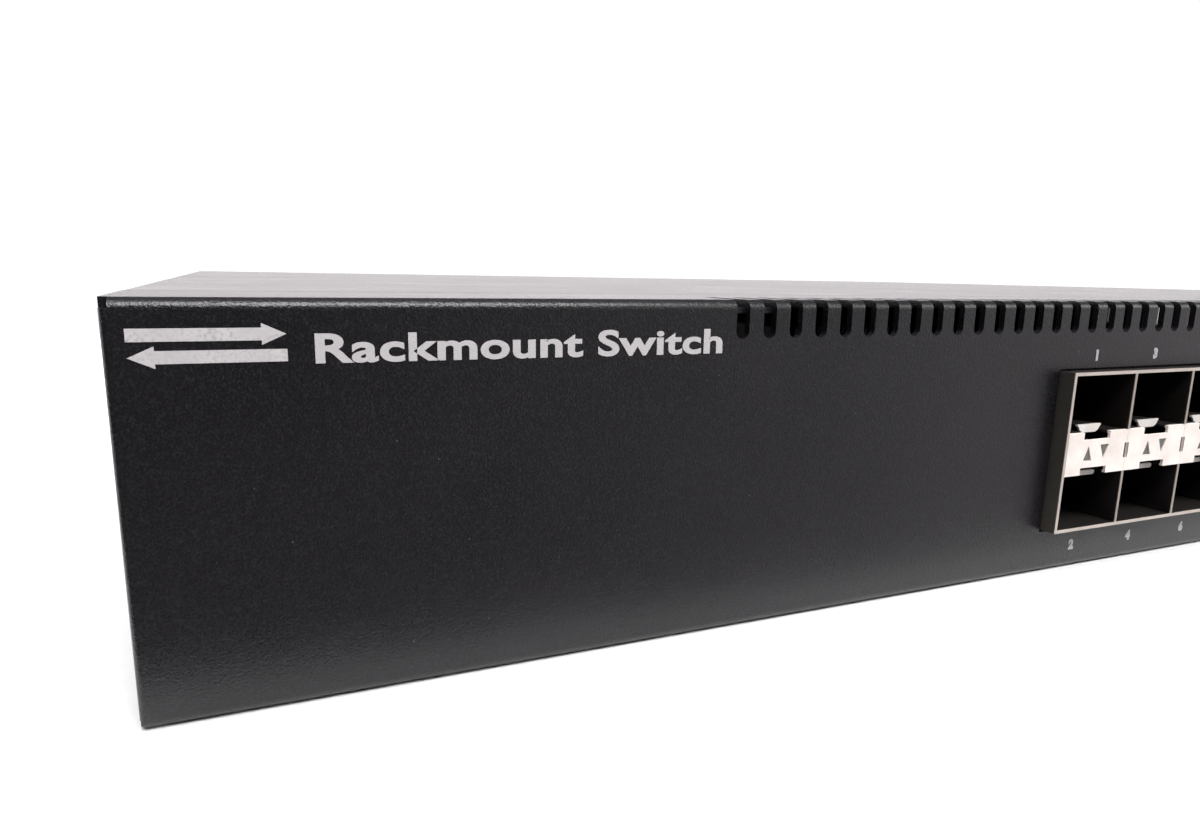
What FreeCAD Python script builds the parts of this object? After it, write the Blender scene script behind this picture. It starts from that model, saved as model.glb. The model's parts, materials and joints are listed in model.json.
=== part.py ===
import FreeCAD, Part
import math
import os

# Rackmount network switch, one rack unit high, in millimetres.
# Sub-parts are drawn in the chassis' own frame: X from the left side, Y from the
# front face towards the rear, Z from the underside. save() moves each one to the
# row's frame, whose origin is the bottom centre of the whole object.

# --- chassis ---------------------------------------------------------------
WIDTH = 440.0
DEPTH = 387.0
HEIGHT = 43.2
SHEET = 1.0
FOLD_R = 1.2
SIDE_R = 0.6
CORNER_R = 0.2
# Gaps left where the folds meet at the front corners: width and height of each.
TOP_NOTCH = (0.8, 1.0)
FOOT_NOTCH = (0.2, 1.1)
FOOT_CHAMFER = (0.55, 0.45)
# Stiffener behind the top fold: its two ends in X, its back in Y and its thickness.
STIFFENER = (8.0, 74.75, 6.0, 0.7)
FLANGE = 22.0
SEAM = 0.4
GAP = 0.05
COVER_SKIRT_Z = 0.6
COVER_Y = FLANGE + SEAM
PANEL_Y = DEPTH - SHEET
MID_Z = HEIGHT / 2.0

# --- ventilation slots over the front top fold ------------------------------
SLOT_FIRST_X = 69.2
SLOT_PITCH = 4.0
SLOT_COUNT = 76
SLOT_R = 0.95
SLOT_LOW_Z = 38.4
SLOT_BACK_Y = 8.4

# --- pluggable-module cages ---------------------------------------------------
CAGE_PROUD = 2.41
CAGE_X = 127.6
CAGE_PITCH = 14.25
CAGE_COLUMNS = 6
CAGE_BLOCK_STEP = 89.0
CAGE_Z0 = 7.11
CAGE_Z1 = 32.57
CAGE_BACK_Y = 50.0
CAGE_SHEET = 0.5
SHELF_Z0 = 16.3
SHELF_Z1 = 23.1
SHELF_SHEET = 0.4
CUTOUT_GAP = 0.35
BLOCKS = [CAGE_X, CAGE_X + CAGE_BLOCK_STEP]
BLOCK_WIDTH = CAGE_PITCH * CAGE_COLUMNS
LATCH_X0 = 3.95
LATCH_X1 = 9.9
LATCH_ROOT_Y = 21.0
LATCH_TIP_Y = -0.7
LATCH_LIP = 0.35
UPPER_LIP_Z = 24.05
LOWER_LIP_Z = 15.72
# Light windows in each plate: offset in the column, low and high ends, half width.
UP_ARROW = (5.25, 18.55, 20.95, 0.97)
DOWN_ARROW = (8.95, 18.6, 21.0, 1.0)

# --- copper jacks, status lights, display, service port ----------------------
JACK_X = 314.0
JACK_PITCH = 14.6
JACK_WIDTH = 31.0
JACK_Z0 = 7.1
JACK_HEIGHT = 27.0
JACK_DEPTH = 25.0
PORT_W = 11.9
PORT_H = 7.0
STATUS_X = [356.0, 366.0]
STATUS_Z = [12.0, 20.0, 28.0]
STATUS_R = 1.1
DISPLAY_X = 384.5
DISPLAY_Z = 21.0
DISPLAY_W = 13.0
DISPLAY_H = 17.0
SERVICE_X = 404.0
USB_Z = 12.4
USB_W = 13.1
USB_H = 5.7
RESET_X = 421.0
RESET_Z = 21.0
RESET_HOLE_R = 1.6
RESET_R = 1.2

# --- main board ---------------------------------------------------------------
BOARD_Z0 = 5.4
BOARD_Z1 = 7.0
BOARD_X0 = 104.0
BOARD_X1 = 434.0
BOARD_Y0 = 8.0
BOARD_Y1 = 236.0
SWITCH_CHIP_AT = (180.0, 132.0)
PROCESSOR_AT = (392.0, 140.0)
STANDOFFS = [(x, y) for x in (112.0, 226.0, 350.0, 426.0) for y in (62.0, 144.0, 228.0)]
SCREW_R = 1.5

# --- rear ---------------------------------------------------------------------
FAN_SIZE = 40.0
FAN_DEPTH = 28.0
FAN_Y = 356.0
FAN_BORE_R = 19.0
FAN_HUB_R = 9.5
FAN_HOLE = 16.0
FAN_X = {"fan_left": 146.0, "fan_right": 189.0, "psu_fan": 70.0}
INLET_X = 29.0
POWER_SOCKET_X = 108.0
MANAGEMENT_X = 222.0
CONSOLE_X = 248.0
CONSOLE_Z = 13.5
BAY_X = {"left": 307.5, "right": 392.5}
BAY_HALF = 42.0
BAY_CUT_HALF = 31.5
BAY_CUT_Z = (4.5, 40.0)
BLANK_THICK = 1.2
BLANK_SCREW = 36.5
BLANK_SCREW_Z = 21.6
KNOB_R = 4.5
KNOB_LENGTH = 7.6
GROUND_X = 122.0
GROUND_Z = 35.5
REAR_FLANGE_Y = 372.0
REAR_PROUD = BLANK_THICK + 0.2 + KNOB_LENGTH

# --- sides --------------------------------------------------------------------
BRACKET_Y = (34.0, 66.0)
BRACKET_Z = (11.6, 31.6)
BRACKET_HOLE_R = 2.0
COVER_SCREW_Y = (110.0, 240.0, 370.0)
SIDE_VENT_Y0 = 130.0
SIDE_VENT_PITCH = 5.0
SIDE_VENT_COUNT = 18

ORIGIN = FreeCAD.Vector(WIDTH / 2.0, (DEPTH + REAR_PROUD - CAGE_PROUD) / 2.0, 0.0)
X_AXIS = FreeCAD.Vector(1, 0, 0)
Y_AXIS = FreeCAD.Vector(0, 1, 0)
Z_AXIS = FreeCAD.Vector(0, 0, 1)


# --- drawing helpers ------------------------------------------------------------
def vec(x, y, z):
    return FreeCAD.Vector(x, y, z)


def box(x0, x1, y0, y1, z0, z1):
    return Part.makeBox(x1 - x0, y1 - y0, z1 - z0, vec(x0, y0, z0))


def rod_x(x0, x1, y, z, r):
    return Part.makeCylinder(r, x1 - x0, vec(x0, y, z), X_AXIS)


def rod_y(x, z, r, y0, y1):
    return Part.makeCylinder(r, y1 - y0, vec(x, y0, z), Y_AXIS)


def rod_z(x, y, r, z0, z1):
    return Part.makeCylinder(r, z1 - z0, vec(x, y, z0), Z_AXIS)


def prism_y(points, y0, y1):
    """Outline of (x, z) points pushed along Y."""
    wire = Part.makePolygon([vec(x, y0, z) for x, z in points + points[:1]])
    return Part.Face(wire).extrude(vec(0, y1 - y0, 0))


def prism_x(points, x0, x1):
    """Outline of (y, z) points pushed along X."""
    wire = Part.makePolygon([vec(x0, y, z) for y, z in points + points[:1]])
    return Part.Face(wire).extrude(vec(x1 - x0, 0, 0))


def hexagon_z(x, y, r, z0, z1):
    corners = [math.radians(60 * i) for i in range(7)]
    wire = Part.makePolygon([vec(x + r * math.cos(a), y + r * math.sin(a), z0) for a in corners])
    return Part.Face(wire).extrude(vec(0, 0, z1 - z0))


def hexagon_y(x, z, r, y0, y1):
    corners = [math.radians(60 * i) for i in range(6)]
    return prism_y([(x + r * math.cos(a), z + r * math.sin(a)) for a in corners], y0, y1)


def cut(shape, tools):
    return shape.cut(Part.makeCompound(tools))


def join(shapes):
    return shapes[0].multiFuse(shapes[1:]).removeSplitter()


def save(name, shapes):
    """Write one node: a single solid or a group of separate solids."""
    whole = Part.makeCompound(shapes) if isinstance(shapes, list) else shapes
    moved = whole.copy()
    moved.translate(ORIGIN.negative())
    moved.exportStep(os.path.join("parts", name + ".step"))


# --- sheet metal ----------------------------------------------------------------
def edges_along_y(shape, x, z):
    """Edges parallel to Y that pass through the corner (x, z)."""
    found = []
    for edge in shape.Edges:
        a = edge.Vertexes[0].Point
        b = edge.Vertexes[-1].Point
        on_line = all(abs(p.x - x) < 0.01 and abs(p.z - z) < 0.01 for p in (a, b))
        if on_line and abs(a.y - b.y) > 1.0:
            found.append(edge)
    return found


def vent_slot(x):
    """One rounded slot that starts on the front face and runs over the top fold."""
    low = SLOT_LOW_Z + SLOT_R
    back = SLOT_BACK_Y - SLOT_R
    return [
        box(x - SLOT_R, x + SLOT_R, -1, back, low, HEIGHT + 1),
        rod_y(x, low, SLOT_R, -1, SHEET + 1),
        rod_z(x, back, SLOT_R, HEIGHT - SHEET - 1, HEIGHT + 1),
    ]


def front_openings():
    """Everything that comes through the front panel."""
    tools = []
    for x in BLOCKS:
        tools.append(box(x - CUTOUT_GAP, x + BLOCK_WIDTH + CUTOUT_GAP, -1, SHEET + 1,
                         CAGE_Z0 - CUTOUT_GAP, CAGE_Z1 + CUTOUT_GAP))
    tools.append(box(JACK_X - 0.3, JACK_X + JACK_WIDTH + 0.3, -1, SHEET + 1,
                     JACK_Z0 - 0.3, JACK_Z0 + JACK_HEIGHT + 0.3))
    for x in STATUS_X:
        for z in STATUS_Z:
            tools.append(rod_y(x, z, STATUS_R + GAP, -1, SHEET + 1))
    tools.append(box(DISPLAY_X - DISPLAY_W / 2, DISPLAY_X + DISPLAY_W / 2, -1, SHEET + 1,
                     DISPLAY_Z - DISPLAY_H / 2, DISPLAY_Z + DISPLAY_H / 2))
    tools.append(box(SERVICE_X - USB_W / 2 - 0.3, SERVICE_X + USB_W / 2 + 0.3, -1, SHEET + 1,
                     USB_Z - USB_H / 2 - 0.3, USB_Z + USB_H / 2 + 0.3))
    tools.append(rod_y(RESET_X, RESET_Z, RESET_HOLE_R, -1, SHEET + 1))
    return tools


def corner_reliefs():
    """Notches where the folds meet: square at the top corners, small and chamfered at the bottom."""
    tools = []
    for x, way in ((0, 1), (WIDTH, -1)):
        inner = x + way * TOP_NOTCH[0]
        tools.append(box(min(x - way, inner), max(x - way, inner), -1, FOLD_R,
                         HEIGHT - TOP_NOTCH[1], HEIGHT + 1))
        step = x + way * FOOT_NOTCH[0]
        foot = x + way * FOOT_CHAMFER[0]
        outline = [(x - way, -1), (x - way, FOOT_NOTCH[1]), (step, FOOT_NOTCH[1]),
                   (step, FOOT_CHAMFER[1]), (foot, 0), (foot, -1)]
        tools.append(prism_y(outline, -1, FOLD_R))
    return tools


def folded_block():
    """Outside of the front panel: round folds along its level and its upright front edges."""
    block = box(0, WIDTH, 0, FLANGE, 0, HEIGHT)
    front = [e for e in block.Edges if e.BoundBox.YMax < 0.01]
    level = [e for e in front if e.BoundBox.XLength > 1.0]
    upright = [e for e in front if e.BoundBox.ZLength > 1.0]
    return block.makeFillet(FOLD_R, level).common(block.makeFillet(SIDE_R, upright))


def front_panel():
    """Face with a flange folded back on all four sides, and a stiffener behind the top fold."""
    hollow = box(SHEET, WIDTH - SHEET, SHEET, FLANGE + 1, SHEET, HEIGHT - SHEET)
    lap = SHEET + 0.6
    flange_ends = [box(x - lap, x + lap, FOLD_R + 0.1, FLANGE + 1, -1, SHEET) for x in (0, WIDTH)]
    slots = []
    for i in range(SLOT_COUNT):
        slots += vent_slot(SLOT_FIRST_X + SLOT_PITCH * i)
    panel = cut(folded_block().cut(hollow), corner_reliefs() + flange_ends + slots + front_openings())
    x0, x1, back, thick = STIFFENER
    under = HEIGHT - SHEET
    return join([panel, box(x0, x1, SHEET, back, under - thick, under)])


def side_openings(x0, x1):
    """Bracket holes and intake slots through one side, between x0 and x1."""
    tools = [rod_x(x0, x1, y, z, BRACKET_HOLE_R) for y in BRACKET_Y for z in BRACKET_Z]
    for i in range(SIDE_VENT_COUNT):
        y = SIDE_VENT_Y0 + SIDE_VENT_PITCH * i
        for z in (12.0, 26.0):
            tools.append(box(x0, x1, y - 1.2, y + 1.2, z, z + 9.0))
            tools.append(rod_x(x0, x1, y, z, 1.2))
            tools.append(rod_x(x0, x1, y, z + 9.0, 1.2))
    return tools


def base_pan():
    """Floor, two side walls and a tongue that laps under the front panel's flange."""
    wall = SHEET + GAP
    top = HEIGHT - SHEET - 0.3
    pan = join([
        box(wall, WIDTH - wall, COVER_Y, PANEL_Y, 0, SHEET),
        box(wall, WIDTH - wall, 4, COVER_Y + 8, SHEET, 2 * SHEET),
        box(wall, wall + SHEET, 4, PANEL_Y, SHEET, top),
        box(WIDTH - wall - SHEET, WIDTH - wall, 4, PANEL_Y, SHEET, top),
        box(wall, wall + SHEET, COVER_Y, PANEL_Y, 0, top),
        box(WIDTH - wall - SHEET, WIDTH - wall, COVER_Y, PANEL_Y, 0, top),
    ])
    tools = side_openings(0, 4) + side_openings(WIDTH - 4, WIDTH)
    for y in COVER_SCREW_Y:
        tools.append(rod_x(0, 4, y, MID_Z, SCREW_R + GAP))
        tools.append(rod_x(WIDTH - 4, WIDTH, y, MID_Z, SCREW_R + GAP))
    return cut(pan, tools)


def top_cover():
    """Top sheet with a skirt folded down over each side."""
    outer = box(0, WIDTH, COVER_Y, DEPTH - 0.2, COVER_SKIRT_Z, HEIGHT)
    folds = edges_along_y(outer, 0, HEIGHT) + edges_along_y(outer, WIDTH, HEIGHT)
    shell = outer.makeFillet(CORNER_R, folds)
    hollow = box(SHEET, WIDTH - SHEET, COVER_Y - 1, DEPTH + 1, -1, HEIGHT - SHEET)
    tools = [hollow] + side_openings(-1, 2) + side_openings(WIDTH - 2, WIDTH + 1)
    for y in COVER_SCREW_Y:
        tools.append(rod_x(-1, 2, y, MID_Z, 2.9))
        tools.append(rod_x(WIDTH - 2, WIDTH + 1, y, MID_Z, 2.9))
    return cut(shell, tools)


def fan_grille(x):
    """Hexagonal field of round holes in front of one fan, and its four screw holes."""
    tools = []
    for row in range(-4, 5):
        for col in range(-4, 5):
            dx = 4.3 * (col + 0.5 * (row % 2))
            dz = 3.75 * row
            if math.hypot(dx, dz) < FAN_BORE_R - 2.0:
                tools.append(rod_y(x + dx, MID_Z + dz, 1.75, PANEL_Y - 1, DEPTH + 1))
    for dx in (-FAN_HOLE, FAN_HOLE):
        for dz in (-FAN_HOLE, FAN_HOLE):
            tools.append(rod_y(x + dx, MID_Z + dz, SCREW_R + 0.1, PANEL_Y - 1, DEPTH + 1))
    return tools


def rear_panel():
    """Rear sheet with a flange at its foot and at each end, and every rear cut-out."""
    inner = 2 * SHEET + 2 * GAP
    sheet = join([
        box(inner, WIDTH - inner, PANEL_Y, DEPTH, 0, HEIGHT - SHEET - GAP),
        box(inner, WIDTH - inner, PANEL_Y - 9, DEPTH, SHEET, 2 * SHEET),
        box(inner, inner + SHEET, REAR_FLANGE_Y, DEPTH, SHEET, HEIGHT - SHEET - GAP),
        box(WIDTH - inner - SHEET, WIDTH - inner, REAR_FLANGE_Y, DEPTH, SHEET, HEIGHT - SHEET - GAP),
    ])
    y0 = PANEL_Y - 10
    y1 = DEPTH + 1
    tools = []
    for x in FAN_X.values():
        tools += fan_grille(x)
        tools.append(box(x - 20.5, x + 20.5, y0, PANEL_Y, 0.5, 2 * SHEET + 1))
    tools.append(box(INLET_X - 13.6, INLET_X + 13.6, y0, y1, MID_Z - 10, MID_Z + 10))
    tools.append(box(POWER_SOCKET_X - 14.7, POWER_SOCKET_X + 14.7, y0, y1, 9.8, 19.4))
    tools.append(box(MANAGEMENT_X - 8.1, MANAGEMENT_X + 8.1, y0, y1, JACK_Z0 - 0.2, JACK_Z0 + 14.2))
    tools.append(box(CONSOLE_X - 9.4, CONSOLE_X + 9.4, y0, y1, CONSOLE_Z - 5, CONSOLE_Z + 5))
    for side in (-12.5, 12.5):
        tools.append(rod_y(CONSOLE_X + side, CONSOLE_Z, 1.6, y0, y1))
    for x in BAY_X.values():
        tools.append(box(x - BAY_CUT_HALF, x + BAY_CUT_HALF, y0, y1, BAY_CUT_Z[0], BAY_CUT_Z[1]))
        for side in (-BLANK_SCREW, BLANK_SCREW):
            tools.append(rod_y(x + side, BLANK_SCREW_Z, SCREW_R + GAP, y0, y1))
    tools.append(rod_y(GROUND_X, GROUND_Z, 2.05, y0, y1))
    return cut(sheet, tools)


# --- fasteners --------------------------------------------------------------------
def cross_recess(at, axis, depth):
    """Cross-shaped driver recess, cut inwards from the point at."""
    turn = FreeCAD.Rotation(Z_AXIS, axis)
    bars = [box(-1.6, 1.6, -0.3, 0.3, -depth, 1), box(-0.3, 0.3, -1.6, 1.6, -depth, 1)]
    for bar in bars:
        bar.Placement = FreeCAD.Placement(at, turn)
    return bars


def cover_screw(x, y, inward):
    """Flush screw through a side skirt; inward is +1 on the left side, -1 on the right."""
    axis = vec(inward, 0, 0)
    head = Part.makeCylinder(2.8, 0.9, vec(x, y, MID_Z), axis)
    shank = Part.makeCylinder(SCREW_R, 5.0, vec(x, y, MID_Z), axis)
    return cut(join([head, shank]), cross_recess(vec(x, y, MID_Z), axis.negative(), 0.6))


def cover_screws():
    left = [cover_screw(0.05, y, 1) for y in COVER_SCREW_Y]
    right = [cover_screw(WIDTH - 0.05, y, -1) for y in COVER_SCREW_Y]
    return left + right


def board_standoffs():
    posts = []
    for x, y in STANDOFFS:
        post = hexagon_z(x, y, 3.0, SHEET, BOARD_Z0)
        posts.append(post.cut(rod_z(x, y, SCREW_R + GAP, SHEET + 0.5, BOARD_Z0 + 1)))
    return posts


def board_screws():
    screws = []
    for x, y in STANDOFFS:
        head = rod_z(x, y, 2.8, BOARD_Z1, BOARD_Z1 + 1.6)
        shank = rod_z(x, y, SCREW_R, BOARD_Z1 - 4.5, BOARD_Z1 + 0.5)
        recess = cross_recess(vec(x, y, BOARD_Z1 + 1.6), Z_AXIS, 0.9)
        screws.append(cut(join([head, shank]), recess))
    return screws


def fan_screws():
    screws = []
    for x in FAN_X.values():
        for dx in (-FAN_HOLE, FAN_HOLE):
            for dz in (-FAN_HOLE, FAN_HOLE):
                head = rod_y(x + dx, MID_Z + dz, 2.8, DEPTH, DEPTH + 1.4)
                shank = rod_y(x + dx, MID_Z + dz, SCREW_R, DEPTH - 14, DEPTH + 0.5)
                recess = cross_recess(vec(x + dx, DEPTH + 1.4, MID_Z + dz), Y_AXIS, 0.8)
                screws.append(cut(join([head, shank]), recess))
    return screws


def ground_screw():
    """Earth screw with a hexagonal washer head."""
    washer = rod_y(GROUND_X, GROUND_Z, 4.4, DEPTH, DEPTH + 0.8)
    head = hexagon_y(GROUND_X, GROUND_Z, 3.6, DEPTH + 0.5, DEPTH + 3.2)
    shank = rod_y(GROUND_X, GROUND_Z, 2.0, DEPTH - 7, DEPTH + 0.5)
    recess = cross_recess(vec(GROUND_X, DEPTH + 3.2, GROUND_Z), Y_AXIS, 1.2)
    return cut(join([washer, head, shank]), recess)


# --- pluggable-module cages ---------------------------------------------------------
def cage_shell(x0):
    """Outer sheet of one block of twelve ports, open to the front."""
    x1 = x0 + BLOCK_WIDTH
    outer = box(x0, x1, -CAGE_PROUD, CAGE_BACK_Y, CAGE_Z0, CAGE_Z1)
    inner = box(x0 + CAGE_SHEET, x1 - CAGE_SHEET, -CAGE_PROUD - 1, CAGE_BACK_Y - CAGE_SHEET,
                CAGE_Z0 + CAGE_SHEET, CAGE_Z1 - CAGE_SHEET)
    return outer.cut(inner)


def cage_divider(x):
    """Upright sheet between two columns, set back behind the centre plates."""
    half = CAGE_SHEET / 2
    sheet = box(x - half, x + half, -CAGE_PROUD, CAGE_BACK_Y - 1,
                CAGE_Z0 + CAGE_SHEET, CAGE_Z1 - CAGE_SHEET)
    rebate = box(x - 1, x + 1, -CAGE_PROUD - 1, -CAGE_PROUD + SHELF_SHEET + 0.05,
                 SHELF_Z0 - 0.05, SHELF_Z1 + 0.05)
    tab = box(x - 0.2, x + 0.2, -CAGE_PROUD, -CAGE_PROUD + 1, 18.5, 20.9)
    return join([sheet.cut(rebate), tab])


def cage_dividers():
    return [cage_divider(x0 + CAGE_PITCH * i) for x0 in BLOCKS for i in range(1, CAGE_COLUMNS)]


def column_span(x0, i):
    """Inside faces of column i of the block that starts at x0."""
    left = x0 + CAGE_PITCH * i + (CAGE_SHEET if i == 0 else CAGE_SHEET / 2)
    last = i == CAGE_COLUMNS - 1
    right = x0 + CAGE_PITCH * (i + 1) - (CAGE_SHEET if last else CAGE_SHEET / 2)
    return left, right


def arrow(column, shape, point_up, shrink=0.0):
    """Outline of a triangular light window, or of the light guide's tip in it, a little smaller."""
    at, low, high, half = shape
    x = column + at
    half = half - shrink
    if point_up:
        return [(x - half, low + shrink), (x + half, low + shrink), (x, high - 2 * shrink)]
    return [(x - half, high - shrink), (x + half, high - shrink), (x, low + 2 * shrink)]


def centre_plate(x0, i):
    """Folded separator of one column: bright face, floor of the upper port, roof of the lower."""
    column = x0 + CAGE_PITCH * i
    left, right = column_span(x0, i)
    face_left = left + 0.02 if i == 0 else column + 0.03
    face_right = right - 0.02 if i == CAGE_COLUMNS - 1 else column + CAGE_PITCH - 0.03
    face_back = -CAGE_PROUD + SHELF_SHEET
    body = join([
        box(face_left, face_right, -CAGE_PROUD, face_back, SHELF_Z0, SHELF_Z1),
        box(left + 0.03, right - 0.03, -CAGE_PROUD, 38.0, SHELF_Z1 - SHELF_SHEET, SHELF_Z1),
        box(left + 0.03, right - 0.03, -CAGE_PROUD, 38.0, SHELF_Z0, SHELF_Z0 + SHELF_SHEET),
    ])
    notch_left = column + LATCH_X0
    notch_right = column + LATCH_X1
    tools = [
        box(notch_left, notch_right, -CAGE_PROUD - 1, LATCH_ROOT_Y, SHELF_Z1 - 1.2, SHELF_Z1 + 1),
        box(notch_left, notch_right, -CAGE_PROUD - 1, LATCH_ROOT_Y, SHELF_Z0 - 1, SHELF_Z0 + 1.15),
        prism_y(arrow(column, UP_ARROW, True), -CAGE_PROUD - 1, 0),
        prism_y(arrow(column, DOWN_ARROW, False), -CAGE_PROUD - 1, 0),
        box(column - 0.5, column + 0.5, -CAGE_PROUD - 1, 0, 18.45, 20.95),
        box(column + CAGE_PITCH - 0.5, column + CAGE_PITCH + 0.5, -CAGE_PROUD - 1, 0, 18.45, 20.95),
    ]
    return cut(body, tools)


def centre_plates():
    return [centre_plate(x0, i) for x0 in BLOCKS for i in range(CAGE_COLUMNS)]


def upper_latch(column):
    """Sprung tongue in the upper port's floor, with a raised lip at its tip."""
    x0 = column + LATCH_X0 + 0.5
    x1 = column + LATCH_X1 - 0.15
    top = UPPER_LIP_Z
    tongue = prism_x([
        (LATCH_ROOT_Y - 0.1, SHELF_Z1 - 0.35), (LATCH_ROOT_Y - 0.1, SHELF_Z1 - 0.05),
        (LATCH_TIP_Y, top), (LATCH_TIP_Y, top - 0.3),
    ], x0, x1)
    lip = prism_y([(x0, top), (x1, top), (x1 - 0.45, top - 0.95), (x1 - 1.1, top - 1.3),
                   (x0 + 1.3, top - 1.3), (x0 + 0.6, top - 0.95)], LATCH_TIP_Y, LATCH_TIP_Y + LATCH_LIP)
    return join([tongue, lip])


def lower_latch(column):
    """Sprung tongue in the lower port's roof, ending in a rounded lip."""
    low = LOWER_LIP_Z
    round_r = 0.4
    x0 = column + LATCH_X0 + 0.3
    x1 = column + LATCH_X1 - 0.15 - round_r
    tongue = prism_x([
        (LATCH_ROOT_Y - 0.1, SHELF_Z0 + 0.05), (LATCH_ROOT_Y - 0.1, SHELF_Z0 + 0.35),
        (LATCH_TIP_Y, low + 0.4), (LATCH_TIP_Y, low),
    ], x0, x1)
    lip = box(x0, x1, LATCH_TIP_Y, LATCH_TIP_Y + LATCH_LIP, low, low + 2 * round_r)
    corner = rod_y(x1, low + round_r, round_r, LATCH_TIP_Y, LATCH_TIP_Y + LATCH_LIP)
    return join([tongue, lip, corner])


def latch_springs():
    springs = []
    for x0 in BLOCKS:
        for i in range(CAGE_COLUMNS):
            springs.append(upper_latch(x0 + CAGE_PITCH * i))
            springs.append(lower_latch(x0 + CAGE_PITCH * i))
    return springs


def cage_light_pipe(column, shape, point_up):
    """Clear rod behind one triangular window, with the triangle's shape at its tip."""
    x = column + shape[0]
    tip = prism_y(arrow(column, shape, point_up, 0.08), -CAGE_PROUD + 0.15, -1.5)
    bar = box(x - 1.15, x + 1.15, -1.9, 38.0, 18.3, 21.1)
    return join([tip, bar])


def cage_light_pipes():
    pipes = []
    for x0 in BLOCKS:
        for i in range(CAGE_COLUMNS):
            column = x0 + CAGE_PITCH * i
            pipes.append(cage_light_pipe(column, UP_ARROW, True))
            pipes.append(cage_light_pipe(column, DOWN_ARROW, False))
    return pipes


def host_connector(x0, i):
    """Stacked edge connector at the back of one column, with a slot for each module."""
    left, right = column_span(x0, i)
    block = box(left + 1.4, right - 1.4, 39.0, 48.5, CAGE_Z0 + CAGE_SHEET, 29.0)
    slots = [box(left + 2.2, right - 2.2, 38.0, 46.0, z - 0.75, z + 0.75) for z in (11.6, 26.4)]
    return cut(block, slots)


def host_connectors():
    return [host_connector(x0, i) for x0 in BLOCKS for i in range(CAGE_COLUMNS)]


def emi_spring(x0):
    """Springy contact ring round one cage, just behind the front panel, with slit fingers."""
    x1 = x0 + BLOCK_WIDTH
    t = 0.25
    ring = box(x0 - t, x1 + t, SHEET + 0.1, 7.0, CAGE_Z0 - t, CAGE_Z1 + t)
    ring = ring.cut(box(x0, x1, 0, 8, CAGE_Z0, CAGE_Z1))
    slits = []
    count = int(BLOCK_WIDTH / 3.0)
    for i in range(1, count):
        x = x0 + BLOCK_WIDTH * i / count
        slits.append(box(x - 0.2, x + 0.2, SHEET, 5.5, CAGE_Z1 - 0.1, CAGE_Z1 + 1))
        slits.append(box(x - 0.2, x + 0.2, SHEET, 5.5, CAGE_Z0 - 1, CAGE_Z0 + 0.1))
    return cut(ring, slits)


# --- copper jacks -----------------------------------------------------------------
def jack_cavity(x, z, latch_up, mouth, back):
    """Hollow of one eight-way jack between the Y planes mouth and back, latch groove included."""
    y0 = min(mouth, back)
    y1 = max(mouth, back)
    side = 1 if latch_up else -1
    edge = z + side * PORT_H / 2
    grooves = [
        (x - PORT_W / 2, x + PORT_W / 2, z - PORT_H / 2, z + PORT_H / 2),
        (x - 3.1, x + 3.1, min(edge, edge + side * 1.6), max(edge, edge + side * 1.6)),
        (x - 1.7, x + 1.7, min(edge, edge + side * 2.6), max(edge, edge + side * 2.6)),
    ]
    return join([box(a, b, y0, y1, c, d) for a, b, c, d in grooves])


def jack_places():
    """Centre and latch side of each of the four front jacks."""
    middle = JACK_X + JACK_WIDTH / 2
    places = []
    for side in (-0.5, 0.5):
        x = middle + side * JACK_PITCH
        places.append((x, JACK_Z0 + 6.9, False))
        places.append((x, JACK_Z0 + JACK_HEIGHT - 6.9, True))
    return places


def jack_housing():
    x1 = JACK_X + JACK_WIDTH
    block = box(JACK_X + 0.35, x1 - 0.35, -0.25, JACK_DEPTH - 0.4,
                JACK_Z0 + 0.35, JACK_Z0 + JACK_HEIGHT - 0.35)
    cavities = [jack_cavity(x, z, up, -1, 15.0) for x, z, up in jack_places()]
    return cut(block, cavities)


def jack_shield():
    """Tinned sheet wrapped round the four-port housing."""
    x1 = JACK_X + JACK_WIDTH
    outer = box(JACK_X, x1, -0.6, JACK_DEPTH, JACK_Z0, JACK_Z0 + JACK_HEIGHT)
    t = 0.3
    inner = box(JACK_X + t, x1 - t, -0.6 + t, JACK_DEPTH - t,
                JACK_Z0 + t, JACK_Z0 + JACK_HEIGHT - t)
    mouths = [jack_cavity(x, z, up, -2, 1) for x, z, up in jack_places()]
    return cut(outer.cut(inner), mouths)


def contact_row(x, z, latch_up, mouth, inward):
    """Eight sloping contact wires on the side of a jack away from its latch."""
    side = -1 if latch_up else 1
    wall = z + side * (PORT_H / 2 - 0.1)
    y0 = mouth + inward * 3.0
    y1 = mouth + inward * 12.0
    wires = []
    for i in range(8):
        wx = x + (i - 3.5) * 1.02
        outline = [(y0, wall), (y0, wall - side * 0.35), (y1, wall - side * 1.9), (y1, wall - side * 1.55)]
        wires.append(prism_x(outline, wx - 0.2, wx + 0.2))
    return wires


def jack_contacts():
    wires = []
    for x, z, up in jack_places():
        wires += contact_row(x, z, up, 0.0, 1)
    return wires


# --- status lights, display, service port, reset ------------------------------------
def status_light_pipes():
    """Clear rods on a common carrier that stands on the board."""
    rods = [rod_y(x, z, STATUS_R, -0.3, 12.0) for x in STATUS_X for z in STATUS_Z]
    carrier = box(STATUS_X[0] - 3, STATUS_X[1] + 3, 10.0, 16.0, BOARD_Z1, STATUS_Z[-1] + 3)
    return join([carrier] + rods)


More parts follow.
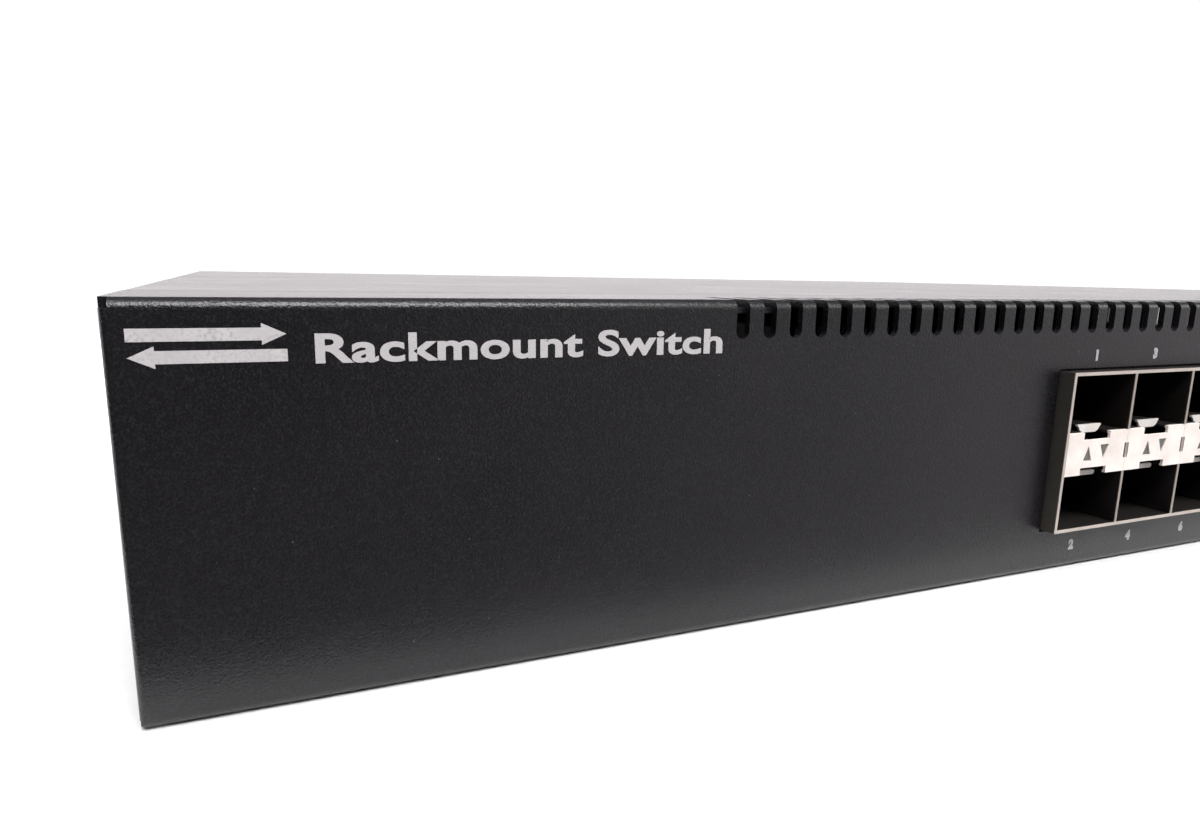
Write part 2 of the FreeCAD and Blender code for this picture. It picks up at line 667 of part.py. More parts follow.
def segment(cx, cz, half_x, half_z, y0, y1):
    """One bar of the figure display, with pointed ends."""
    if half_x > half_z:
        points = [(cx - half_x, cz), (cx - half_x + half_z, cz + half_z),
                  (cx + half_x - half_z, cz + half_z), (cx + half_x, cz),
                  (cx + half_x - half_z, cz - half_z), (cx - half_x + half_z, cz - half_z)]
    else:
        points = [(cx, cz - half_z), (cx - half_x, cz - half_z + half_x),
                  (cx - half_x, cz + half_z - half_x), (cx, cz + half_z),
                  (cx + half_x, cz + half_z - half_x), (cx + half_x, cz - half_z + half_x)]
    return prism_y(points, y0, y1)


def stack_display():
    """Seven-bar figure display on two legs above the board."""
    body = box(DISPLAY_X - 6, DISPLAY_X + 6, 2.4, 9.0, DISPLAY_Z - 8, DISPLAY_Z + 8)
    legs = [box(DISPLAY_X + s - 1, DISPLAY_X + s + 1, 7.0, 9.0, BOARD_Z1, DISPLAY_Z - 7)
            for s in (-4, 4)]
    bars = [segment(DISPLAY_X, DISPLAY_Z + dz, 3.0, 0.6, 2.1, 2.6) for dz in (-6, 0, 6)]
    bars += [segment(DISPLAY_X + dx, DISPLAY_Z + dz, 0.6, 2.8, 2.1, 2.6)
             for dx in (-3.4, 3.4) for dz in (-3, 3)]
    return join([body] + legs + bars)


def display_window():
    """Smoked window with a shoulder that seats behind the panel."""
    w = DISPLAY_W / 2
    h = DISPLAY_H / 2
    pane = box(DISPLAY_X - w + 0.1, DISPLAY_X + w - 0.1, 0.1, 1.2,
               DISPLAY_Z - h + 0.1, DISPLAY_Z + h - 0.1)
    shoulder = box(DISPLAY_X - w - 1, DISPLAY_X + w + 1, SHEET, 1.9,
                   DISPLAY_Z - h - 1, DISPLAY_Z + h + 1)
    return join([pane, shoulder])


def usb_shell():
    """Folded metal shell of the service port."""
    t = 0.35
    w = USB_W / 2
    h = USB_H / 2
    outer = box(SERVICE_X - w, SERVICE_X + w, -0.8, 14.0, USB_Z - h, USB_Z + h)
    inner = box(SERVICE_X - w + t, SERVICE_X + w - t, -2, 14.0 - t, USB_Z - h + t, USB_Z + h - t)
    legs = [box(SERVICE_X + s - 1, SERVICE_X + s + 1, 5.0, 9.0, BOARD_Z1, USB_Z - h + 0.1)
            for s in (-5, 5)]
    return join([outer.cut(inner)] + legs)


def usb_tongue():
    """Insulating tongue and back block inside the service port."""
    tongue = box(SERVICE_X - 5.6, SERVICE_X + 5.6, 0.4, 13.0, USB_Z + 0.2, USB_Z + 2.0)
    block = box(SERVICE_X - 6.1, SERVICE_X + 6.1, 10.5, 13.5, USB_Z - 2.4, USB_Z + 2.4)
    return join([tongue, block])


def reset_switch():
    """Fixed body of the reset switch, bored for its plunger."""
    body = box(RESET_X - 3.5, RESET_X + 3.5, 6.0, 12.0, BOARD_Z1, RESET_Z + 3.5)
    body = body.cut(rod_y(RESET_X, RESET_Z, RESET_R + GAP, 5.0, 10.5))
    return body.cut(rod_y(RESET_X, RESET_Z, RESET_R + 1.05, 7.5, 10.5))


def reset_button():
    """Plunger reached through the panel's hole, with a collar that holds it in the switch."""
    stem = rod_y(RESET_X, RESET_Z, RESET_R, 0.3, 9.6)
    collar = rod_y(RESET_X, RESET_Z, RESET_R + 0.9, 7.6, 8.6)
    dish = Part.makeSphere(2.0, vec(RESET_X, -1.3, RESET_Z))
    return join([stem, collar]).cut(dish)


# --- main board -----------------------------------------------------------------
def main_board():
    board = box(BOARD_X0, BOARD_X1, BOARD_Y0, BOARD_Y1, BOARD_Z0, BOARD_Z1)
    return cut(board, [rod_z(x, y, 1.7, BOARD_Z0 - 1, BOARD_Z1 + 1) for x, y in STANDOFFS])


def chip(x, y, side, thick):
    """Square package with a raised lid, standing on the board."""
    h = side / 2
    base = box(x - h, x + h, y - h, y + h, BOARD_Z1, BOARD_Z1 + thick * 0.5)
    lid = box(x - h * 0.8, x + h * 0.8, y - h * 0.8, y + h * 0.8, BOARD_Z1, BOARD_Z1 + thick)
    return join([base, lid])


def heat_sink(x, y, side, low, height, fins):
    """Flat base with upright fins along Y."""
    h = side / 2
    parts = [box(x - h, x + h, y - h, y + h, low, low + 3.0)]
    pitch = (side - 1.2) / (fins - 1)
    for i in range(fins):
        fx = x - h + pitch * i
        parts.append(box(fx, fx + 1.2, y - h, y + h, low + 2.5, low + height))
    return join(parts)


def board_chips():
    """Line drivers beside the cages, and the memory beside the processor."""
    drivers = [chip(x, 84.0, 24.0, 2.2) for x in (150.0, 190.0, 240.0, 300.0)]
    memory = [box(x, x + 11.0, 176.0, 190.0, BOARD_Z1, BOARD_Z1 + 1.2)
              for x in (340.0, 354.0, 368.0, 382.0)]
    return drivers + memory


def board_capacitors():
    """Round can capacitors beside the power regulators."""
    cans = []
    for row in range(3):
        for col in range(5):
            x = 122.0 + 10.0 * col
            y = 176.0 + 12.0 * row
            can = rod_z(x, y, 4.0, BOARD_Z1, BOARD_Z1 + 9.0)
            groove = rod_z(x, y, 5.0, BOARD_Z1 + 1.4, BOARD_Z1 + 2.0)
            cans.append(can.cut(groove.cut(rod_z(x, y, 3.7, BOARD_Z1, BOARD_Z1 + 9.0))))
    return cans


def coin_cell():
    """Clock battery in a round holder."""
    holder = rod_z(404.0, 80.0, 11.5, BOARD_Z1, BOARD_Z1 + 4.4)
    holder = holder.cut(rod_z(404.0, 80.0, 10.1, BOARD_Z1 + 1.0, BOARD_Z1 + 6.0))
    cell = rod_z(404.0, 80.0, 10.0, BOARD_Z1 + 1.0, BOARD_Z1 + 4.2)
    return [holder, cell]


def module_connectors():
    """Edge sockets that an expansion module plugs into at the front of each bay."""
    sockets = []
    for x in BAY_X.values():
        body = box(x - 22, x + 22, 224.0, 240.0, BOARD_Z1, BOARD_Z1 + 9.0)
        sockets.append(body.cut(box(x - 20, x + 20, 230.0, 241.0, BOARD_Z1 + 3.8, BOARD_Z1 + 5.6)))
    return sockets


# --- power supply -----------------------------------------------------------------
PSU_POSTS = [(x, y) for x in (14.0, 84.0) for y in (232.0, 342.0)]
PSU_Z = 9.0


def psu_frame():
    """Carrier plate with a low wall on its inner side and four posts."""
    plate = [box(6.0, 96.0, 224.0, 350.0, SHEET, SHEET + 1.0),
             box(95.0, 96.0, 224.0, 350.0, SHEET, 16.0)]
    posts = [rod_z(x, y, 3.0, SHEET + 0.5, PSU_Z - 1.6) for x, y in PSU_POSTS]
    return join(plate + posts)


def psu_board():
    board = box(9.0, 90.0, 226.0, 348.0, PSU_Z - 1.6, PSU_Z)
    return cut(board, [rod_z(x, y, 1.7, 0, 20) for x, y in PSU_POSTS])


def psu_transformer():
    """Ferrite core round a wound bobbin."""
    core = box(32.0, 68.0, 268.0, 296.0, PSU_Z, PSU_Z + 26.0)
    windows = [box(37.0, 44.5, 267.0, 297.0, PSU_Z + 6.0, PSU_Z + 20.0),
               box(55.5, 63.0, 267.0, 297.0, PSU_Z + 6.0, PSU_Z + 20.0)]
    winding = box(37.2, 62.8, 262.0, 302.0, PSU_Z + 6.2, PSU_Z + 19.8)
    leg = box(44.5, 55.5, 267.0, 297.0, PSU_Z, PSU_Z + 26.0)
    return [cut(core, windows), winding.cut(leg)]


def psu_heat_sinks():
    sinks = []
    for x in (14.0, 74.0):
        web = box(x, x + 2.0, 244.0, 330.0, PSU_Z, PSU_Z + 27.0)
        fins = [box(x, x + 7.0, 244.0, 330.0, PSU_Z + z, PSU_Z + z + 1.2) for z in (9, 14, 19, 25)]
        sinks.append(join([web] + fins))
    return sinks


def psu_capacitors():
    cans = [rod_z(x, 314.0, 10.5, PSU_Z, PSU_Z + 28.0) for x in (36.0, 60.0)]
    cans += [rod_z(x, 250.0, 4.0, PSU_Z, PSU_Z + 14.0) for x in (34.0, 44.0, 54.0, 64.0)]
    return cans


def rounded_run(points, radius):
    """Wire of straight runs joined by tangent arcs of one radius."""
    edges = []
    start = points[0]
    for before, corner, after in zip(points, points[1:], points[2:]):
        into = (corner - before).normalize()
        out = (after - corner).normalize()
        turn = into.getAngle(out)
        reach = radius * math.tan(turn / 2)
        a = corner - into * reach
        b = corner + out * reach
        bisector = (out - into).normalize()
        centre = corner + bisector * (radius / math.cos(turn / 2))
        middle = centre - bisector * radius
        edges.append(Part.LineSegment(start, a).toShape())
        edges.append(Part.Arc(a, middle, b).toShape())
        start = b
    edges.append(Part.LineSegment(start, points[-1]).toShape())
    return Part.Wire(edges)


def lead(points, diameter, radius):
    path = rounded_run(points, radius)
    along = (points[1] - points[0]).normalize()
    profile = Part.Wire(Part.makeCircle(diameter / 2, points[0], along))
    return path.makePipeShell([profile], True, True)


def power_harness():
    """Four leads from the power supply to the board, with a plug at each end."""
    start = vec(87.0, 258.0, PSU_Z + 8.0)
    end = vec(118.0, 214.0, BOARD_Z1 + 9.8)
    high = 30.0
    across = vec(end.x - start.x, end.y - start.y, 0).normalize()
    side = across.cross(Z_AXIS)
    leads = []
    for i in range(4):
        shift = side * (2.2 * (i - 1.5))
        route = [start, vec(start.x, start.y, high), vec(end.x, end.y, high), end]
        leads.append(lead([p + shift for p in route], 1.8, 6.0))
    plugs = []
    for at, low in ((start, PSU_Z), (end, BOARD_Z1)):
        plug = Part.makeBox(4.0, 9.6, at.z - low, vec(-2.0, -4.8, 0))
        plug.Placement = FreeCAD.Placement(vec(at.x, at.y, low), FreeCAD.Rotation(X_AXIS, across))
        plugs.append(plug)
    return leads + plugs


# --- rear connectors --------------------------------------------------------------
def inlet_outline(grow):
    """Outline of the mains inlet's hollow: a box with two cut corners."""
    w = 12.2 + grow
    h = 8.3 + grow
    c = 4.0
    x = INLET_X
    z = MID_Z
    return [(x - w, z - h), (x + w, z - h), (x + w, z + h - c), (x + w - c, z + h),
            (x - w + c, z + h), (x - w, z + h - c)]


def inlet_pin_boxes():
    pins = []
    for dx, dz in ((-7.0, -2.0), (7.0, -2.0), (0.0, 2.6)):
        x = INLET_X + dx
        z = MID_Z + dz
        pins.append(box(x - 1.0, x + 1.0, 360.0, DEPTH - 2.0, z - 2.0, z + 2.0))
    return pins


def ac_inlet():
    """Mains inlet with a flange outside the rear panel."""
    body = box(INLET_X - 13.5, INLET_X + 13.5, 366.0, DEPTH + 1.0, MID_Z - 9.9, MID_Z + 9.9)
    flange = box(INLET_X - 15.5, INLET_X + 15.5, DEPTH, DEPTH + 2.4, MID_Z - 12, MID_Z + 12)
    uprights = [e for e in flange.Edges if abs(e.BoundBox.YLength - 2.4) < 0.01]
    flange = flange.makeFillet(2.0, uprights)
    hollow = prism_y(inlet_outline(0), 370.0, DEPTH + 5)
    return cut(join([body, flange]).cut(hollow), inlet_pin_boxes())


def redundant_power_socket():
    """Two rows of seven square cavities with a keeper ridge on top."""
    x = POWER_SOCKET_X
    body = box(x - 14.6, x + 14.6, 368.0, DEPTH + 1.6, 9.9, 18.5)
    ridge = box(x - 3.0, x + 3.0, 376.0, DEPTH + 1.6, 18.0, 19.3)
    cells = []
    for col in range(7):
        for row in range(2):
            cx = x + (col - 3) * 4.1
            cz = 12.15 + row * 4.1
            cells.append(box(cx - 1.6, cx + 1.6, 374.0, DEPTH + 3, cz - 1.6, cz + 1.6))
    return cut(join([body, ridge]), cells)


def management_jack():
    """Single eight-way jack with its tinned sleeve and contact wires."""
    x = MANAGEMENT_X
    z = JACK_Z0 + 7.0
    back = DEPTH - 20.0
    mouth = DEPTH + 0.6
    t = 0.3
    cavity = jack_cavity(x, z, False, mouth + 1, mouth - 14.5)
    body = box(x - 7.6, x + 7.6, back + 0.4, DEPTH + 0.2, JACK_Z0 + 0.4, JACK_Z0 + 13.6).cut(cavity)
    sleeve = box(x - 8.0, x + 8.0, back, mouth, JACK_Z0, JACK_Z0 + 14.0)
    inside = box(x - 8.0 + t, x + 8.0 - t, back + t, mouth - t, JACK_Z0 + t, JACK_Z0 + 14.0 - t)
    sleeve = sleeve.cut(inside).cut(cavity)
    return [body, sleeve] + contact_row(x, z, False, mouth, -1)


def d_outline(half_top, half_bottom, half_height):
    x = CONSOLE_X
    z = CONSOLE_Z
    return [(x - half_bottom, z - half_height), (x + half_bottom, z - half_height),
            (x + half_top, z + half_height), (x - half_top, z + half_height)]


def console_port():
    """Nine-pin serial port: flange, shell, pins and two jack screws."""
    flange = box(CONSOLE_X - 15.4, CONSOLE_X + 15.4, DEPTH, DEPTH + 1.0, CONSOLE_Z - 6.2, CONSOLE_Z + 6.2)
    shell = prism_y(d_outline(8.4, 7.7, 4.1), DEPTH - 8, DEPTH + 6.2)
    hollow = prism_y(d_outline(7.9, 7.2, 3.6), DEPTH - 1.5, DEPTH + 7)
    body = join([flange, shell]).cut(hollow)
    holes = []
    for side in (-12.5, 12.5):
        holes.append(rod_y(CONSOLE_X + side, CONSOLE_Z, SCREW_R + GAP, DEPTH - 1, DEPTH + 2))
    body = cut(body, holes)
    pins = []
    for count, dz in ((5, 1.42), (4, -1.42)):
        for i in range(count):
            x = CONSOLE_X + (i - (count - 1) / 2) * 2.77
            pins.append(rod_y(x, CONSOLE_Z + dz, 0.5, DEPTH - 1.5, DEPTH + 5.2))
    nuts = []
    for side in (-12.5, 12.5):
        x = CONSOLE_X + side
        nut = join([hexagon_y(x, CONSOLE_Z, 2.6, DEPTH + 1.0, DEPTH + 6.0),
                    rod_y(x, CONSOLE_Z, SCREW_R, DEPTH - 6, DEPTH + 1.5)])
        nuts.append(nut.cut(rod_y(x, CONSOLE_Z, 1.3, DEPTH + 1.5, DEPTH + 7)))
    return [body] + pins + nuts


# --- fans ---------------------------------------------------------------------------
def fan_frame(x):
    """Square frame with a round bore, four corner holes and a motor carrier on three arms."""
    h = FAN_SIZE / 2
    y1 = FAN_Y + FAN_DEPTH
    frame = box(x - h, x + h, FAN_Y, y1, MID_Z - h, MID_Z + h)
    holes = [rod_y(x, MID_Z, FAN_BORE_R, FAN_Y - 1, y1 + 1)]
    for dx in (-FAN_HOLE, FAN_HOLE):
        for dz in (-FAN_HOLE, FAN_HOLE):
            holes.append(rod_y(x + dx, MID_Z + dz, SCREW_R + GAP, FAN_Y - 1, y1 + 1))
    waist = []
    for dx in (-h, h):
        waist.append(box(x + dx - 2.0, x + dx + 2.0, FAN_Y + 5, y1 - 5, MID_Z - 12, MID_Z + 12))
    frame = cut(frame, holes + waist)
    carrier = rod_y(x, MID_Z, FAN_HUB_R, y1 - 4.0, y1)
    arms = []
    for i in range(3):
        arm = box(x + FAN_HUB_R - 1, x + FAN_BORE_R + 0.5, y1 - 3.5, y1 - 0.5, MID_Z - 1.2, MID_Z + 1.2)
        arm.rotate(vec(x, 0, MID_Z), Y_AXIS, 90 + 120 * i)
        arms.append(arm)
    bearing = rod_y(x, MID_Z, 3.0, y1 - 14.0, y1 - 3.0)
    bore = rod_y(x, MID_Z, 1.05, y1 - 15.0, y1 - 1.5)
    return join([frame, carrier, bearing] + arms).cut(bore)


def fan_rotor(x):
    """Cup hub with seven pitched blades and a spindle in the frame's bearing."""
    y1 = FAN_Y + FAN_DEPTH - 4.5
    y0 = FAN_Y + 3.0
    hub = rod_y(x, MID_Z, FAN_HUB_R, y0, y1)
    hub = hub.cut(rod_y(x, MID_Z, FAN_HUB_R - 1.2, y0 + 1.5, y1 + 1))
    spindle = rod_y(x, MID_Z, 1.0, y0 + 1.0, FAN_Y + FAN_DEPTH - 2.5)
    blades = []
    for i in range(7):
        blade = box(x + FAN_HUB_R - 0.6, x + FAN_BORE_R + 2, -0.6, 0.6, MID_Z - 7.5, MID_Z + 7.5)
        blade.rotate(vec(x, 0, MID_Z), X_AXIS, 48)
        blade.translate(vec(0, (y0 + y1) / 2, 0))
        blade.rotate(vec(x, 0, MID_Z), Y_AXIS, 360.0 * i / 7)
        blades.append(blade)
    annulus = rod_y(x, MID_Z, FAN_BORE_R - 0.6, y0, y1).cut(rod_y(x, MID_Z, FAN_HUB_R - 0.8, y0, y1))
    trimmed = [blade.common(annulus) for blade in blades]
    return join([hub, spindle] + trimmed)


# --- expansion bays -----------------------------------------------------------------
def bay_guides():
    """Two folded rails on the floor of each bay."""
    rails = []
    for x in BAY_X.values():
        for side in (-1, 1):
            wall = x + side * (BAY_CUT_HALF + 1.5)
            foot = x + side * (BAY_CUT_HALF + 6.0)
            upright = box(min(wall, wall + side), max(wall, wall + side), 262.0, 372.0, SHEET, 14.0)
            flat = box(min(wall, foot), max(wall, foot), 262.0, 372.0, SHEET, SHEET * 2)
            rails.append(join([upright, flat]))
    return rails


def bay_blank(x):
    """Cover plate of an empty bay with a folded return on each side."""
    face = DEPTH + 0.05
    half = BAY_HALF - 0.6
    plate = box(x - half, x + half, face, face + BLANK_THICK, 2.6, HEIGHT - 1.4)
    corners = [e for e in plate.Edges if abs(e.BoundBox.YLength - BLANK_THICK) < 0.01]
    plate = plate.makeFillet(1.5, corners)
    inner = BAY_CUT_HALF - 0.4
    wings = []
    for side in (-1, 1):
        a = x + side * inner
        b = x + side * (inner - 1.0)
        wings.append(box(min(a, b), max(a, b), PANEL_Y - 22, face + 0.5, 6.0, 38.0))
    holes = [rod_y(x + s, BLANK_SCREW_Z, 2.05, face - 1, face + 3) for s in (-BLANK_SCREW, BLANK_SCREW)]
    return cut(join([plate] + wings), holes)


def thumbscrew(x):
    """Captive screw: knurled knob with a driver slot on a stepped shank."""
    knob_y = DEPTH + 0.05 + BLANK_THICK + 0.15
    tip = knob_y + KNOB_LENGTH
    knob = rod_y(x, BLANK_SCREW_Z, KNOB_R, knob_y, tip)
    rims = [e for e in knob.Edges if len(e.Vertexes) == 1]
    knob = knob.makeFillet(0.5, rims)
    flutes = []
    out = KNOB_R + 0.15
    for i in range(24):
        a = math.radians(15 * i)
        fx = x + out * math.cos(a)
        fz = BLANK_SCREW_Z + out * math.sin(a)
        flutes.append(rod_y(fx, fz, 0.4, knob_y + 1.2, tip - 1.0))
    slot = box(x - 6, x + 6, tip - 1.4, tip + 1, BLANK_SCREW_Z - 0.5, BLANK_SCREW_Z + 0.5)
    collar = rod_y(x, BLANK_SCREW_Z, 2.0, DEPTH + 0.05, knob_y + 1)
    shank = rod_y(x, BLANK_SCREW_Z, SCREW_R, DEPTH - 6, knob_y + 1)
    return cut(join([knob, collar, shank]), flutes + [slot])


# --- write every node -----------------------------------------------------------------
save("base_pan", base_pan())
save("front_panel", front_panel())
save("top_cover", top_cover())
save("rear_panel", rear_panel())
save("cover_screws", cover_screws())
save("board_standoffs", board_standoffs())
save("board_screws", board_screws())
save("fan_screws", fan_screws())
save("ground_screw", ground_screw())

save("sfp_cage_left", cage_shell(BLOCKS[0]))
save("sfp_cage_right", cage_shell(BLOCKS[1]))
save("sfp_dividers", cage_dividers())
save("sfp_centre_plates", centre_plates())
save("sfp_latch_springs", latch_springs())
save("sfp_light_pipes", cage_light_pipes())
save("sfp_host_connectors", host_connectors())
save("sfp_emi_springs", [emi_spring(x0) for x0 in BLOCKS])

save("copper_jack_housing", jack_housing())
save("copper_jack_shield", jack_shield())
save("copper_jack_contacts", jack_contacts())
save("status_light_pipes", status_light_pipes())
save("stack_display", stack_display())
save("display_window", display_window())
save("usb_shell", usb_shell())
save("usb_tongue", usb_tongue())
save("reset_switch", reset_switch())
save("reset_button", reset_button())

save("main_board", main_board())
save("switch_chip", chip(SWITCH_CHIP_AT[0], SWITCH_CHIP_AT[1], 40.0, 3.2))
save("switch_heat_sink", heat_sink(SWITCH_CHIP_AT[0], SWITCH_CHIP_AT[1], 62.0, BOARD_Z1 + 3.3, 22.0, 16))
save("processor", chip(PROCESSOR_AT[0], PROCESSOR_AT[1], 28.0, 2.6))
save("processor_heat_sink", heat_sink(PROCESSOR_AT[0], PROCESSOR_AT[1], 38.0, BOARD_Z1 + 2.7, 16.0, 11))
save("board_chips", board_chips())
save("board_capacitors", board_capacitors())
save("coin_cell", coin_cell())
save("module_connectors", module_connectors())

save("psu_frame", psu_frame())
save("psu_board", psu_board())
save("psu_transformer", psu_transformer())
save("psu_heat_sinks", psu_heat_sinks())
save("psu_capacitors", psu_capacitors())
save("power_harness", power_harness())
save("ac_inlet", ac_inlet())
save("ac_inlet_pins", inlet_pin_boxes())
save("redundant_power_socket", redundant_power_socket())
save("management_jack", management_jack())
save("console_port", console_port())

for name, x in FAN_X.items():
    save(name + "_frame", fan_frame(x))
    save(name + "_rotor", fan_rotor(x))

save("bay_guides", bay_guides())
for name, x in BAY_X.items():
    save("bay_blank_" + name, bay_blank(x))
    save("thumbscrew_" + name + "_a", thumbscrew(x - BLANK_SCREW))
    save("thumbscrew_" + name + "_b", thumbscrew(x + BLANK_SCREW))
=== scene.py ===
import json
import math

import bpy
import bmesh
from mathutils import Matrix, Vector


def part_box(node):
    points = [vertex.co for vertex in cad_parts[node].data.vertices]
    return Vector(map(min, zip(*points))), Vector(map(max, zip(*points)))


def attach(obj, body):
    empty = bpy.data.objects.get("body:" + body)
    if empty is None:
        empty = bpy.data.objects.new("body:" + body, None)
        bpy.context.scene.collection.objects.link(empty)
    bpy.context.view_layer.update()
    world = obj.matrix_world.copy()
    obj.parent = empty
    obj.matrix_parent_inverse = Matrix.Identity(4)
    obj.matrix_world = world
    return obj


# A one-unit rackmount switch. Metres throughout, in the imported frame: X to the right when the
# front is faced, Y towards the rear, Z up.

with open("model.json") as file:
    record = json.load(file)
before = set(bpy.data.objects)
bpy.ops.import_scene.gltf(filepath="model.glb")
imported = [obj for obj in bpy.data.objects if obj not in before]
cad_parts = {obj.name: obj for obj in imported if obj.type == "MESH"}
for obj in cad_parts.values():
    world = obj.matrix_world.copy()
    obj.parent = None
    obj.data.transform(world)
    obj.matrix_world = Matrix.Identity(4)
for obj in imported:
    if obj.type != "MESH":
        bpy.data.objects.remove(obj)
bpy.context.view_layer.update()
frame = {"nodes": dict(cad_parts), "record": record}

MM = 0.001
NODES = frame["nodes"]
OPENINGS = {o["name"]: o["box_m"] for o in frame["record"]["physics"]["openings"]}
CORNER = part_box("front_panel")[0]      # lower left corner of the front
FRONT_Y = CORNER.y
CAGE_LOW, CAGE_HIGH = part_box("sfp_cage_left")
RIM_Y = CAGE_LOW.y
REAR_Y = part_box("rear_panel")[1].y

# Strength of the studio's parts in reflections, and of the white that the camera sees.
BACKDROP_LEVEL = 2.0
RIGHT_LEVEL = 0.80
DIM_LEVEL = 0.046
TABLE_LEVEL = 0.26
CEILING_LEVEL = 0.30
SEEN_LEVEL = 1.1
DIM_TINT = (1.0, 0.955, 0.975, 1.0)
WHITE = (1.0, 1.0, 1.0, 1.0)

# Camera: its place from the front's lower left corner, its turn in degrees and its lens.
CAMERA_OFFSET = Vector((10.698, -88.049, 46.165)) * MM
CAMERA_YAW, CAMERA_PITCH, CAMERA_ROLL = 24.109, 11.773, -1.064
CAMERA_LENS, CAMERA_SENSOR = 25.0, 36.0
CAMERA_SHIFT = (-0.0003, 0.0239)
CAMERA_CLIP = (0.005, 50.0)

# Soft boxes: name, place, aim, width, height, watts, and whether reflections show them.
LIGHTS = [
    ("key", (-0.10, FRONT_Y - 0.50, 0.76), (0.0, FRONT_Y, 0.0), 0.7, 0.32, 11.5, True),
    ("fill", (0.80, FRONT_Y - 0.60, 0.55), (0.0, FRONT_Y, 0.02), 0.6, 0.35, 3.5, True),
    ("top", (0.1, 0.25, 1.3), (0.0, 0.1, 0.0), 1.6, 1.3, 48.0, False),
]

# Floor: half its width, its front and rear edges, and its depth under the object.
FLOOR_HALF = 0.75
FLOOR_FRONT = FRONT_Y - 0.0100
FLOOR_BACK = 0.32
FLOOR_DROP = 0.0002

# Printed marks, placed from the front's lower left corner or from their connector.
INK = 0.02 * MM
MARK_X = (2.0 * MM, 16.0 * MM)
MARK_Z = (39.7 * MM, 37.6 * MM)
MARK_HALF = 0.62 * MM
MARK_HEAD = 2.3 * MM
MARK_WING = 1.72
WORDS = "Rackmount Switch"
WORDS_X, WORDS_Z = 18.6 * MM, 36.8 * MM
WORDS_HEIGHT, WORDS_WIDTH, WORDS_BOLD = 3.0 * MM, 47.7 * MM, 0.028
FIGURE_HEIGHT, FIGURE_BOLD = 1.8 * MM, 0.075
PORT_SHIFT = 0.35 * MM
ABOVE_CAGE, BELOW_CAGE = 1.59 * MM, 4.01 * MM
ABOVE_JACK, BELOW_JACK = 0.9 * MM, 3.9 * MM
MODULE_PORTS, COPPER_PORTS = 24, 4
FIRST_COPPER = 21
REAR_WORDS = [
    ("power", "redundant_power_socket", "DC IN"),
    ("management", "management_jack", "MGMT"),
    ("console", "console_port", "CONSOLE"),
]
REAR_HEIGHT, REAR_GAP, REAR_BOLD = 2.0 * MM, 1.6 * MM, 0.015
LETTER_GAP = 1.04
FIGURE_SQUEEZE = 0.95

# Half the letters' depth in font units, and the metres that a font unit of depth becomes.
LETTER_DEPTH = 0.02
DEPTH_SCALE = 0.001


# --- shader helpers ---------------------------------------------------------------
def new_material(name):
    """A material with its node tree, its Principled shader and object coordinates."""
    material = bpy.data.materials.new(name)
    material.use_nodes = True
    tree = material.node_tree
    shader = tree.nodes["Principled BSDF"]
    coords = tree.nodes.new("ShaderNodeTexCoord").outputs["Object"]
    return material, tree, shader, coords


def noise(tree, coords, size, detail=3.0, rough=0.55, stretch=None):
    """Noise whose features are about size metres across, from 0 to 1."""
    if stretch:
        mapping = tree.nodes.new("ShaderNodeMapping")
        mapping.inputs["Scale"].default_value = stretch
        tree.links.new(coords, mapping.inputs["Vector"])
        coords = mapping.outputs["Vector"]
    node = tree.nodes.new("ShaderNodeTexNoise")
    node.inputs["Scale"].default_value = 1.0 / size
    node.inputs["Detail"].default_value = detail
    node.inputs["Roughness"].default_value = rough
    tree.links.new(coords, node.inputs["Vector"])
    return node.outputs["Fac"]


def remap(tree, value, low, high, out_low=0.0, out_high=1.0):
    """Stretch value from low..high to out_low..out_high, held at both ends."""
    node = tree.nodes.new("ShaderNodeMapRange")
    ends = {"From Min": low, "From Max": high, "To Min": out_low, "To Max": out_high}
    for socket, number in ends.items():
        node.inputs[socket].default_value = number
    tree.links.new(value, node.inputs["Value"])
    return node.outputs["Result"]


def math_node(tree, operation, a, b):
    """One arithmetic step on two values, each a number or a socket."""
    node = tree.nodes.new("ShaderNodeMath")
    node.operation = operation
    for socket, value in zip(node.inputs, (a, b)):
        if isinstance(value, (int, float)):
            socket.default_value = value
        else:
            tree.links.new(value, socket)
    return node.outputs["Value"]


def mix_colour(tree, factor, a, b):
    """Blend of two colours, each a tuple or a socket."""
    node = tree.nodes.new("ShaderNodeMix")
    node.data_type = "RGBA"
    tree.links.new(factor, node.inputs[0])
    for socket, value in ((node.inputs[6], a), (node.inputs[7], b)):
        if isinstance(value, tuple):
            socket.default_value = (*value, 1.0)
        else:
            tree.links.new(value, socket)
    return node.outputs[2]


def add_bump(tree, shader, layers):
    """Stack of bump layers, each a height socket with its depth in metres."""
    last = None
    for height, depth in layers:
        bump = tree.nodes.new("ShaderNodeBump")
        bump.inputs["Strength"].default_value = 1.0
        bump.inputs["Distance"].default_value = depth
        tree.links.new(height, bump.inputs["Height"])
        if last:
            tree.links.new(last, bump.inputs["Normal"])
        last = bump.outputs["Normal"]
    tree.links.new(last, shader.inputs["Normal"])


def specks(tree, coords, size, share, radius):
    """Sparse round dots in a share of the cells of a grid of the given size in metres."""
    cells = tree.nodes.new("ShaderNodeTexVoronoi")
    cells.inputs["Scale"].default_value = 1.0 / size
    tree.links.new(coords, cells.inputs["Vector"])
    split = tree.nodes.new("ShaderNodeSeparateColor")
    tree.links.new(cells.outputs["Color"], split.inputs["Color"])
    chosen = math_node(tree, "LESS_THAN", split.outputs["Red"], share)
    dot = remap(tree, cells.outputs["Distance"], radius * 0.6, radius, 1.0, 0.0)
    return math_node(tree, "MULTIPLY", chosen, dot)


